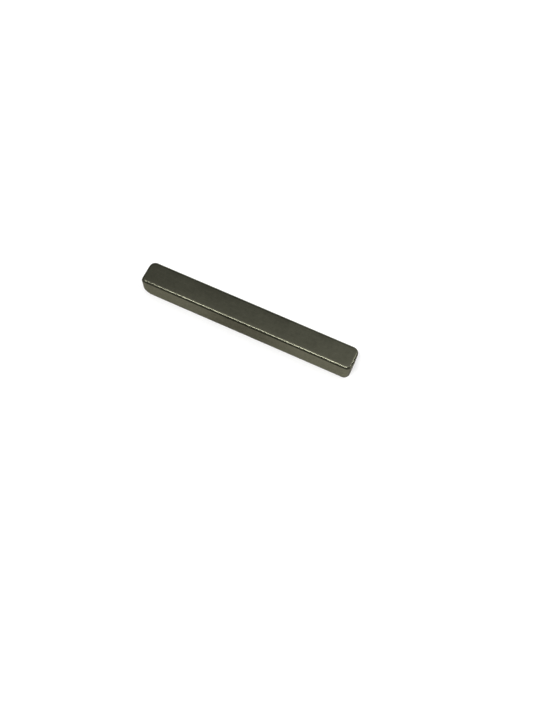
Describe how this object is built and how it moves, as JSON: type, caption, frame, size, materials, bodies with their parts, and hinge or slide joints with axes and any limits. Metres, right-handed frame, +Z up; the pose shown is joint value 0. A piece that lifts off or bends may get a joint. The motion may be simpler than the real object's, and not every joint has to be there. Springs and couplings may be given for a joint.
{
  "type": "parallel key",
  "caption": "Straight square-section steel key with flat ends and rounded edges, for carrying torque between a shaft and a hub.",
  "frame": {"origin": "middle of the underside, which seats on the floor of the shaft's keyway", "axes": "+X along the key, away from its lead-in end; +Y across its width; +Z up, away from the keyway floor"},
  "size_m": [0.045, 0.005, 0.005],
  "materials": {
    "key_steel": "dark oiled steel, satin, rounded by tumbling, with brighter metal showing along the edges"
  },
  "bodies": {
    "root": {"key": "key_steel"}
  },
  "joints": []
}
